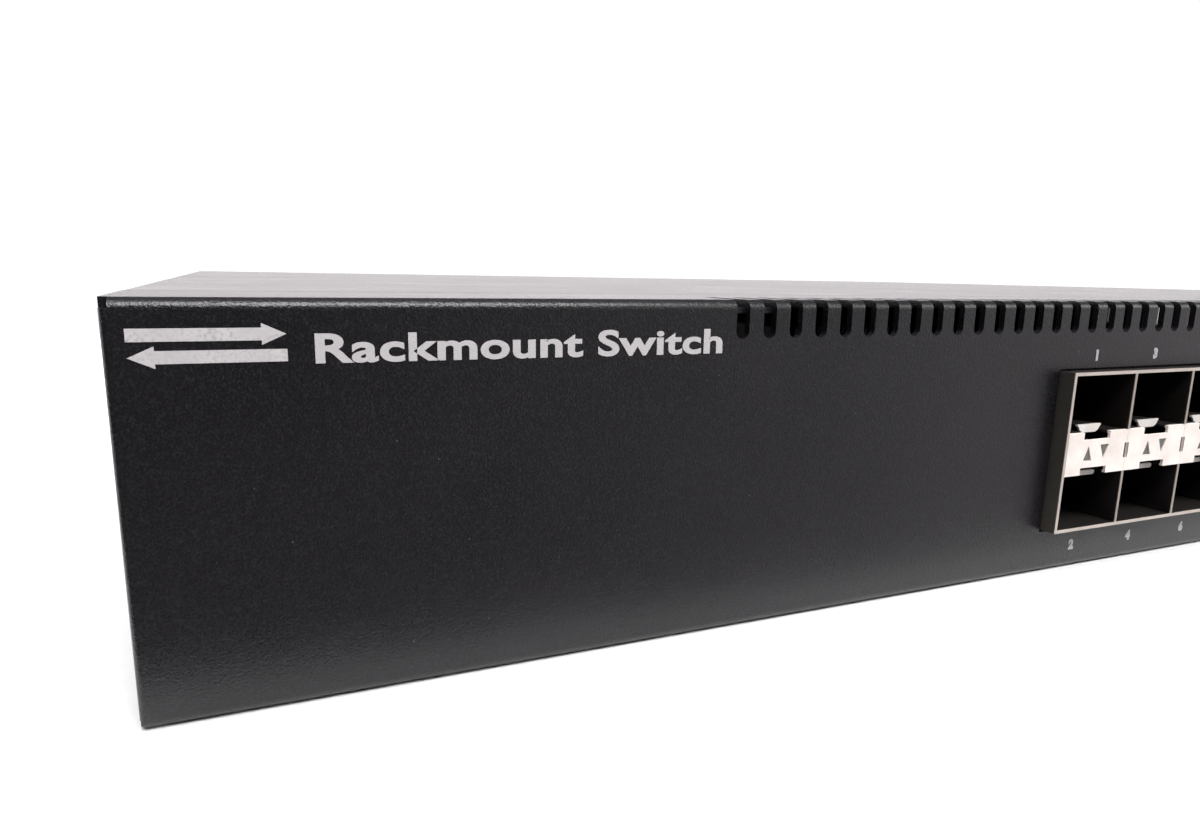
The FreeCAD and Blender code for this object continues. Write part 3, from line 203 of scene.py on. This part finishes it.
# --- materials --------------------------------------------------------------------
def powder_coat():
    """Fine-textured satin black with sparse bright flakes and faint handling marks."""
    material, tree, shader, coords = new_material("powder_coat")
    cloud = noise(tree, coords, 0.016)
    grain = noise(tree, coords, 0.00022, 2.0, 0.6)
    base = mix_colour(tree, remap(tree, cloud, 0.35, 0.65),
                      (0.0046, 0.0040, 0.0052), (0.0072, 0.0064, 0.0080))
    base = mix_colour(tree, remap(tree, grain, 0.50, 0.74), base, (0.0190, 0.0185, 0.0210))
    flake = specks(tree, coords, size=0.0011, share=0.028, radius=0.09)
    base = mix_colour(tree, flake, base, (0.10, 0.105, 0.12))
    tree.links.new(base, shader.inputs["Base Color"])
    smear = noise(tree, coords, 0.03, 4.0, 0.6, (1.0, 1.0, 2.2))
    rough = math_node(tree, "ADD", remap(tree, smear, 0.3, 0.7, 0.255, 0.285),
                      remap(tree, grain, 0.3, 0.7, 0.0, 0.05))
    tree.links.new(rough, shader.inputs["Roughness"])
    fine = noise(tree, coords, 0.00027, 2.0, 0.6)
    wave = noise(tree, coords, 0.0016, 2.0)
    add_bump(tree, shader, [(fine, 0.000062), (wave, 0.000004)])
    return material


# Painted shade: the colour that cage, plate, latch and divider metal is given deep in the ports,
# away from the rim.
PAINTED_SHADE_METAL = (0.022, 0.018, 0.017)
RIM_FADE = 0.1 * MM
SKIN_DEPTH = 0.05 * MM


def rim_metal(name, bright, bright_to, roughness, skin_shade=None, metallic=0.25):
    """Plated sheet in its own bright colour as far as bright_to behind the cage rim. Further in,
    its colour fades into painted shade that stands for the unlit port inside, and its metallic
    value moves towards 0.55.

    The colour for the cage's outer left side, where given, is painted shade there, paler than the
    painted shade further in."""
    material, tree, shader, coords = new_material(name)
    split = tree.nodes.new("ShaderNodeSeparateXYZ")
    tree.links.new(coords, split.inputs["Vector"])
    # Painted shade: past bright_to behind the rim, the colour fades over RIM_FADE into the shade
    # colour.
    edge_y = RIM_Y + bright_to
    inside = remap(tree, split.outputs["Y"], edge_y, edge_y + RIM_FADE)
    shade_colour = PAINTED_SHADE_METAL
    if skin_shade:
        # Painted shade: the cage's outer left side gets a dim colour instead of its plating's
        # colour.
        shell = math_node(tree, "LESS_THAN", split.outputs["X"], CAGE_LOW.x + SKIN_DEPTH)
        shade_colour = mix_colour(tree, shell, PAINTED_SHADE_METAL, skin_shade)
    grain = noise(tree, coords, 0.0006, 3.0, 0.6, (1.0, 0.25, 1.0))
    blotch = noise(tree, coords, 0.004)
    dulled = tuple(c * 0.82 for c in bright)
    edge = mix_colour(tree, remap(tree, blotch, 0.35, 0.7), bright, dulled)
    base = mix_colour(tree, inside, edge, shade_colour)
    tree.links.new(base, shader.inputs["Base Color"])
    tree.links.new(remap(tree, inside, 0.0, 1.0, metallic, 0.55), shader.inputs["Metallic"])
    gloss = remap(tree, grain, 0.3, 0.7, roughness, roughness + 0.16)
    tree.links.new(gloss, shader.inputs["Roughness"])
    add_bump(tree, shader, [(grain, 0.00002)])
    return material


def plated_sheet(name, colour, size, roughness, metallic=1.0, stretch=(1.0, 0.2, 1.0)):
    """Bare or plated metal with a directional grain, small stains and uneven gloss."""
    material, tree, shader, coords = new_material(name)
    grain = noise(tree, coords, size, 4.0, 0.65, stretch)
    stain = noise(tree, coords, size * 14)
    dull = tuple(c * 0.72 for c in colour)
    base = mix_colour(tree, remap(tree, stain, 0.45, 0.75), colour, dull)
    tree.links.new(base, shader.inputs["Base Color"])
    shader.inputs["Metallic"].default_value = metallic
    gloss = remap(tree, grain, 0.25, 0.75, roughness, roughness + 0.18)
    tree.links.new(gloss, shader.inputs["Roughness"])
    add_bump(tree, shader, [(grain, size * 0.03)])
    return material


def moulded_plastic(name, colour, grain_size, roughness):
    """Spark-eroded plastic with slight colour drift and a few pale scuffs."""
    material, tree, shader, coords = new_material(name)
    grain = noise(tree, coords, grain_size, 3.0, 0.6)
    drift = noise(tree, coords, grain_size * 30, 2.0)
    lighter = tuple(min(1.0, c * 1.5 + 0.004) for c in colour)
    base = mix_colour(tree, remap(tree, drift, 0.35, 0.7), colour, lighter)
    scuff = specks(tree, coords, size=grain_size * 7, share=0.04, radius=0.16)
    base = mix_colour(tree, scuff, base, tuple(min(1.0, c * 2 + 0.05) for c in colour))
    tree.links.new(base, shader.inputs["Base Color"])
    gloss = remap(tree, grain, 0.3, 0.7, roughness, roughness + 0.15)
    tree.links.new(gloss, shader.inputs["Roughness"])
    add_bump(tree, shader, [(grain, 0.00002)])
    return material


def clear_guide():
    """Unlit light guide: milky grey that scatters a little light inside."""
    material, tree, shader, coords = new_material("clear_guide")
    haze = noise(tree, coords, 0.0009)
    base = mix_colour(tree, remap(tree, haze, 0.3, 0.7),
                      (0.10, 0.10, 0.095), (0.17, 0.165, 0.16))
    tree.links.new(base, shader.inputs["Base Color"])
    tree.links.new(remap(tree, haze, 0.3, 0.7, 0.22, 0.38), shader.inputs["Roughness"])
    shader.inputs["Subsurface Weight"].default_value = 0.2
    shader.inputs["Subsurface Scale"].default_value = 0.001
    add_bump(tree, shader, [(haze, 0.00003)])
    return material


def smoked_pane():
    """Smoked window: nearly black red with fine scratches."""
    material, tree, shader, coords = new_material("smoked_pane")
    scratch = noise(tree, coords, 0.0005, 2.0, 0.5, (0.08, 1.0, 1.0))
    haze = noise(tree, coords, 0.004)
    base = mix_colour(tree, remap(tree, haze, 0.4, 0.7),
                      (0.012, 0.006, 0.006), (0.020, 0.010, 0.010))
    tree.links.new(base, shader.inputs["Base Color"])
    tree.links.new(remap(tree, scratch, 0.55, 0.75, 0.07, 0.22), shader.inputs["Roughness"])
    shader.inputs["Coat Weight"].default_value = 0.4
    add_bump(tree, shader, [(scratch, 0.000006)])
    return material


def screen_print():
    """Silk-screened off-white ink with pinholes, ragged density and a matt face."""
    material, tree, shader, coords = new_material("screen_print")
    density = noise(tree, coords, 0.00035, 3.0, 0.6)
    cloud = noise(tree, coords, 0.003, 2.0)
    base = mix_colour(tree, remap(tree, density, 0.30, 0.52),
                      (0.40, 0.38, 0.385), (0.565, 0.54, 0.545))
    base = mix_colour(tree, remap(tree, cloud, 0.4, 0.75), base, (0.50, 0.48, 0.49))
    tree.links.new(base, shader.inputs["Base Color"])
    tree.links.new(remap(tree, density, 0.3, 0.7, 0.5, 0.7), shader.inputs["Roughness"])
    add_bump(tree, shader, [(density, 0.00002)])
    return material


def faint_print():
    """Thinner grey ink of the small port numbers."""
    material, tree, shader, coords = new_material("faint_print")
    density = noise(tree, coords, 0.00025, 3.0, 0.6)
    base = mix_colour(tree, remap(tree, density, 0.3, 0.6),
                      (0.29, 0.28, 0.30), (0.50, 0.49, 0.52))
    tree.links.new(base, shader.inputs["Base Color"])
    tree.links.new(remap(tree, density, 0.3, 0.7, 0.5, 0.7), shader.inputs["Roughness"])
    add_bump(tree, shader, [(density, 0.00001)])
    return material


def board_laminate():
    """Solder mask in two greens, for tracks and ground, with a faint weave."""
    material, tree, shader, coords = new_material("board_laminate")
    tracks = noise(tree, coords, 0.0022, 1.0, 0.4, (1.0, 0.15, 1.0))
    weave = noise(tree, coords, 0.0007, 2.0)
    base = mix_colour(tree, remap(tree, tracks, 0.49, 0.53),
                      (0.012, 0.11, 0.045), (0.025, 0.19, 0.085))
    base = mix_colour(tree, remap(tree, weave, 0.45, 0.7), base, (0.010, 0.09, 0.04))
    tree.links.new(base, shader.inputs["Base Color"])
    tree.links.new(remap(tree, weave, 0.3, 0.7, 0.28, 0.42), shader.inputs["Roughness"])
    add_bump(tree, shader, [(tracks, 0.00004), (weave, 0.00001)])
    return material


def floor_material():
    """Plain pale table top."""
    material, tree, shader, coords = new_material("floor_pale")
    grain = noise(tree, coords, 0.002)
    base = mix_colour(tree, remap(tree, grain, 0.3, 0.7),
                      (0.75, 0.75, 0.75), (0.78, 0.78, 0.78))
    tree.links.new(base, shader.inputs["Base Color"])
    shader.inputs["Roughness"].default_value = 0.8
    return material


# --- which node takes which material -------------------------------------------------
FINISHES = {
    "chassis_paint": powder_coat(),
    "zinc_sheet": plated_sheet("zinc_sheet", (0.46, 0.47, 0.47), 0.0008, 0.38),
    # The cage and plate finishes are bright at the rim and carry painted shade further in; the
    # cage's last colour is painted shade on its outer left side.
    "nickel_sheet": rim_metal("cage_sheet", (0.60, 0.53, 0.48), 0.05 * MM, 0.42,
                              skin_shade=(0.10, 0.091, 0.080)),
    "bright_nickel": rim_metal("plate_nickel", (0.98, 0.885, 0.83), 0.5 * MM, 0.45,
                               metallic=0.0),
    "screw_black": plated_sheet("screw_black", (0.035, 0.035, 0.037), 0.0005, 0.36, 0.6),
    "screw_steel": plated_sheet("screw_steel", (0.47, 0.455, 0.43), 0.0005, 0.26),
    "knob_steel": plated_sheet("knob_steel", (0.44, 0.44, 0.44), 0.0004, 0.24,
                               stretch=(1.0, 1.0, 1.0)),
    "clear_plastic": clear_guide(),
    "connector_black": moulded_plastic("connector_black", (0.012, 0.012, 0.013), 0.0005, 0.42),
    "gold_contact": plated_sheet("gold_contact", (0.86, 0.62, 0.24), 0.0003, 0.2),
    "tinned_steel": plated_sheet("tinned_steel", (0.50, 0.50, 0.49), 0.0006, 0.28),
    "smoked_window": smoked_pane(),
    "display_face": moulded_plastic("display_face", (0.05, 0.045, 0.045), 0.0006, 0.5),
    "white_plastic": moulded_plastic("white_plastic", (0.72, 0.72, 0.69), 0.0005, 0.4),
    "button_plastic": moulded_plastic("button_plastic", (0.14, 0.14, 0.15), 0.0004, 0.4),
    "board_green": board_laminate(),
    "chip_black": moulded_plastic("chip_black", (0.015, 0.015, 0.016), 0.0004, 0.5),
    "heat_sink": plated_sheet("heat_sink", (0.42, 0.43, 0.45), 0.0007, 0.35),
    "capacitor": plated_sheet("capacitor", (0.30, 0.32, 0.38), 0.0009, 0.3),
    "ferrite": moulded_plastic("ferrite", (0.07, 0.06, 0.05), 0.0007, 0.6),
    "battery_steel": plated_sheet("battery_steel", (0.62, 0.62, 0.60), 0.0005, 0.25),
    "lead_sleeve": moulded_plastic("lead_sleeve", (0.42, 0.025, 0.02), 0.0006, 0.4),
    "fan_plastic": moulded_plastic("fan_plastic", (0.013, 0.013, 0.014), 0.0006, 0.45),
    "brass_nickel": plated_sheet("brass_nickel", (0.45, 0.445, 0.42), 0.0004, 0.22),
}
NODE_FINISHES = {
    # Latch springs and dividers: bright at the rim, painted shade further in.
    "sfp_latch_springs": rim_metal("latch_nickel", (0.86, 0.82, 0.78), 2.1 * MM, 0.42),
    "sfp_dividers": rim_metal("divider_sheet", (0.40, 0.35, 0.31), 0.05 * MM, 0.42),
}
PRINT = screen_print()
FAINT = faint_print()

# Rounded edges in millimetres, for the nodes whose edges show.
SMALL_EDGE = {
    "sfp_cage_left": 0.10, "sfp_cage_right": 0.10, "sfp_dividers": 0.08,
    "sfp_centre_plates": 0.08, "ac_inlet": 0.35, "bay_blank_left": 0.25,
    "bay_blank_right": 0.25, "redundant_power_socket": 0.25, "console_port": 0.15,
    "management_jack": 0.08, "copper_jack_shield": 0.08, "copper_jack_housing": 0.15,
    "usb_shell": 0.08, "cover_screws": 0.10, "fan_screws": 0.25, "ground_screw": 0.25,
}
EDGE_ANGLE = math.radians(50)


def finish_cad_nodes():
    """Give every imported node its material, and a small rounded edge where one would show."""
    slots = {s["node"]: s["material_slot"] for s in frame["record"]["subparts"]}
    for name, node in NODES.items():
        node.data.materials.clear()
        node.data.materials.append(NODE_FINISHES.get(name, FINISHES[slots[name]]))
        if name in SMALL_EDGE:
            bevel = node.modifiers.new("edge", "BEVEL")
            bevel.width = SMALL_EDGE[name] * MM
            bevel.segments = 2
            bevel.limit_method = "ANGLE"
            bevel.angle_limit = EDGE_ANGLE


# --- printed marks ------------------------------------------------------------------
def text_piece(name, words, left, base_z, height, width, y, material, bold, facing=1):
    """Flat printed words; facing 1 reads from the front, -1 from the rear.

    left is the X of the text's reading start, or its centre when width is None."""
    curve = bpy.data.curves.new(name, "FONT")
    curve.body = words
    curve.offset = bold
    curve.extrude = LETTER_DEPTH
    curve.resolution_u = 6
    curve.space_character = LETTER_GAP
    piece = bpy.data.objects.new(name, curve)
    bpy.context.scene.collection.objects.link(piece)
    bpy.context.view_layer.update()
    low = Vector(piece.bound_box[0])
    high = Vector(piece.bound_box[6])
    length = high.x - low.x
    scale_z = height / text_height(words, bold)
    scale_x = width / length if width else scale_z * FIGURE_SQUEEZE
    start = left if width else left - facing * length * scale_x / 2
    shape = Matrix.Diagonal((scale_x, scale_z, DEPTH_SCALE, 1.0))
    shift = Matrix.Translation((-low.x, 0.0, 0.0))
    turn = Matrix.Rotation(math.radians(90), 4, "X")
    if facing < 0:
        turn = Matrix.Rotation(math.radians(180), 4, "Z") @ turn
    piece.matrix_world = Matrix.Translation((start, y, base_z)) @ turn @ shape @ shift
    curve.materials.append(material)
    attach(piece, "chassis")


def text_height(words, bold):
    """Height of a capital or a figure in the font's own units."""
    probe = bpy.data.curves.new("probe", "FONT")
    probe.body = "H" if words.strip()[:1].isalpha() else "8"
    probe.offset = bold
    holder = bpy.data.objects.new("probe", probe)
    bpy.context.scene.collection.objects.link(holder)
    bpy.context.view_layer.update()
    tall = holder.bound_box[6][1] - holder.bound_box[0][1]
    bpy.data.objects.remove(holder)
    bpy.data.curves.remove(probe)
    return tall


def flat_mark(name, outlines, y, thickness, material):
    """Thin printed shapes that face the front, from outlines of (x, z) points."""
    mesh = bpy.data.meshes.new(name)
    made = bmesh.new()
    for outline in outlines:
        back = [made.verts.new((x, y, z)) for x, z in outline]
        front = [made.verts.new((x, y - thickness, z)) for x, z in outline]
        made.faces.new(back)
        made.faces.new(front)
        for i in range(len(outline)):
            made.faces.new((back[i - 1], back[i], front[i], front[i - 1]))
    bmesh.ops.recalc_face_normals(made, faces=made.faces)
    made.to_mesh(mesh)
    made.free()
    piece = bpy.data.objects.new(name, mesh)
    bpy.context.scene.collection.objects.link(piece)
    mesh.materials.append(material)
    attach(piece, "chassis")


def arrow(x0, x1, z, half, head):
    """Outline of a block arrow from x0 to x1 along X."""
    way = 1 if x1 > x0 else -1
    neck = x1 - way * head
    wing = half * MARK_WING
    return [(x0, z - half), (neck, z - half), (neck, z - wing), (x1, z),
            (neck, z + wing), (neck, z + half), (x0, z + half)]


def number_piece(name, number, x, base_z):
    """Small port number centred on x."""
    text_piece(name, str(number), x, base_z, FIGURE_HEIGHT, None, FRONT_Y - INK * 0.5, FAINT,
               FIGURE_BOLD)


def front_prints():
    """Generic two-arrow mark, product words and port numbers."""
    x0, x1 = (CORNER.x + x for x in MARK_X)
    z0, z1 = (CORNER.z + z for z in MARK_Z)
    outlines = [arrow(x0, x1, z0, MARK_HALF, MARK_HEAD), arrow(x1, x0, z1, MARK_HALF, MARK_HEAD)]
    flat_mark("print_mark", outlines, FRONT_Y + INK * 0.2, INK, PRINT)
    text_piece("print_words", WORDS, CORNER.x + WORDS_X, CORNER.z + WORDS_Z, WORDS_HEIGHT,
               WORDS_WIDTH, FRONT_Y - INK * 0.5, PRINT, WORDS_BOLD)
    for number in range(1, MODULE_PORTS + 1):
        low, high = OPENINGS["module_port_%d" % number]
        upper = number % 2
        base_z = CAGE_HIGH.z + ABOVE_CAGE if upper else CAGE_LOW.z - BELOW_CAGE
        x = (low[0] + high[0]) / 2 + PORT_SHIFT
        number_piece("print_port_%d" % number, number, x, base_z)
    jack_low, jack_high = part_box("copper_jack_shield")
    for k in range(COPPER_PORTS):
        low, high = OPENINGS["copper_port_%d" % (k + 1)]
        upper = k % 2
        base_z = jack_high.z + ABOVE_JACK if upper else jack_low.z - BELOW_JACK
        x = (low[0] + high[0]) / 2
        number_piece("print_copper_%d" % (k + 1), FIRST_COPPER + k, x, base_z)


def rear_prints():
    """Plain function words above the rear connectors."""
    for name, node, words in REAR_WORDS:
        low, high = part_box(node)
        text_piece("print_" + name, words, (low.x + high.x) / 2, high.z + REAR_GAP, REAR_HEIGHT,
                   None, REAR_Y + INK * 0.5, FAINT, REAR_BOLD, facing=-1)


# --- camera, light and floor -----------------------------------------------------------
def add_camera():
    """Close view of the front's left part, from just above the top's height."""
    yaw = math.radians(CAMERA_YAW)
    pitch = math.radians(CAMERA_PITCH)
    roll = math.radians(CAMERA_ROLL)
    level = math.cos(pitch)
    ahead = Vector((math.sin(yaw) * level, math.cos(yaw) * level, -math.sin(pitch)))
    right = Vector((math.cos(yaw), -math.sin(yaw), 0.0))
    down = ahead.cross(right)
    x_axis = math.cos(roll) * right + math.sin(roll) * down
    y_axis = math.sin(roll) * right - math.cos(roll) * down
    data = bpy.data.cameras.new("camera")
    data.lens = CAMERA_LENS
    data.sensor_width = CAMERA_SENSOR
    data.shift_x, data.shift_y = CAMERA_SHIFT
    data.clip_start, data.clip_end = CAMERA_CLIP
    camera = bpy.data.objects.new("camera", data)
    bpy.context.scene.collection.objects.link(camera)
    place = Matrix((x_axis, y_axis, -ahead)).transposed().to_4x4()
    place.translation = CORNER + CAMERA_OFFSET
    camera.matrix_world = place
    bpy.context.scene.camera = camera


def soft_light(name, at, towards, width, height, watts, mirrored):
    """Soft box; mirrored says whether glossy surfaces reflect it as well as being lit by it."""
    data = bpy.data.lights.new(name, "AREA")
    data.shape = "RECTANGLE"
    data.size = width
    data.size_y = height
    data.energy = watts
    lamp = bpy.data.objects.new(name, data)
    bpy.context.scene.collection.objects.link(lamp)
    lamp.location = at
    lamp.visible_glossy = mirrored
    lamp.rotation_euler = (Vector(towards) - Vector(at)).to_track_quat("-Z", "Y").to_euler()


def studio_world():
    """White to the camera; what the object reflects is white low at the rear and dim in front."""
    world = bpy.data.worlds.new("studio")
    bpy.context.scene.world = world
    world.use_nodes = True
    tree = world.node_tree
    tree.nodes.clear()
    coords = tree.nodes.new("ShaderNodeTexCoord").outputs["Generated"]
    split = tree.nodes.new("ShaderNodeSeparateXYZ")
    tree.links.new(coords, split.inputs["Vector"])
    x, y, z = (split.outputs[axis] for axis in "XYZ")
    low_down = remap(tree, z, 0.20, 0.42, 1.0, 0.0)
    behind = math_node(tree, "MULTIPLY", remap(tree, y, -0.10, 0.30), low_down)
    backdrop = math_node(tree, "MULTIPLY", behind, BACKDROP_LEVEL)
    right = math_node(tree, "MULTIPLY", remap(tree, x, 0.10, 0.95, 0.0, RIGHT_LEVEL), low_down)
    table = math_node(tree, "MULTIPLY", remap(tree, z, -0.42, -0.20, TABLE_LEVEL, 0.0),
                      remap(tree, x, 0.0, 0.75, 1.0, 0.0))
    ceiling = remap(tree, z, 0.55, 0.9, 0.0, CEILING_LEVEL)
    level = math_node(tree, "ADD", math_node(tree, "MAXIMUM", backdrop, right), DIM_LEVEL)
    level = math_node(tree, "ADD", level, math_node(tree, "ADD", table, ceiling))
    dim = tree.nodes.new("ShaderNodeBackground")
    dim.inputs["Color"].default_value = DIM_TINT
    tree.links.new(level, dim.inputs["Strength"])
    white = tree.nodes.new("ShaderNodeBackground")
    white.inputs["Color"].default_value = WHITE
    white.inputs["Strength"].default_value = SEEN_LEVEL
    mix = tree.nodes.new("ShaderNodeMixShader")
    seen = tree.nodes.new("ShaderNodeLightPath").outputs["Is Camera Ray"]
    tree.links.new(seen, mix.inputs[0])
    tree.links.new(dim.outputs[0], mix.inputs[1])
    tree.links.new(white.outputs[0], mix.inputs[2])
    out = tree.nodes.new("ShaderNodeOutputWorld")
    tree.links.new(mix.outputs[0], out.inputs["Surface"])


def add_floor():
    """Plain pale table top, whose front edge lies just in front of the object."""
    mesh = bpy.data.meshes.new("floor")
    edges = [(-FLOOR_HALF, FLOOR_FRONT), (FLOOR_HALF, FLOOR_FRONT),
             (FLOOR_HALF, FLOOR_BACK), (-FLOOR_HALF, FLOOR_BACK)]
    mesh.from_pydata([(x, y, -FLOOR_DROP) for x, y in edges], [], [(0, 1, 2, 3)])
    mesh.materials.append(floor_material())
    floor = bpy.data.objects.new("floor", mesh)
    bpy.context.scene.collection.objects.link(floor)


finish_cad_nodes()
front_prints()
rear_prints()
add_camera()
studio_world()
add_floor()
for light in LIGHTS:
    soft_light(*light)
bpy.context.scene.view_settings.view_transform = "Standard"
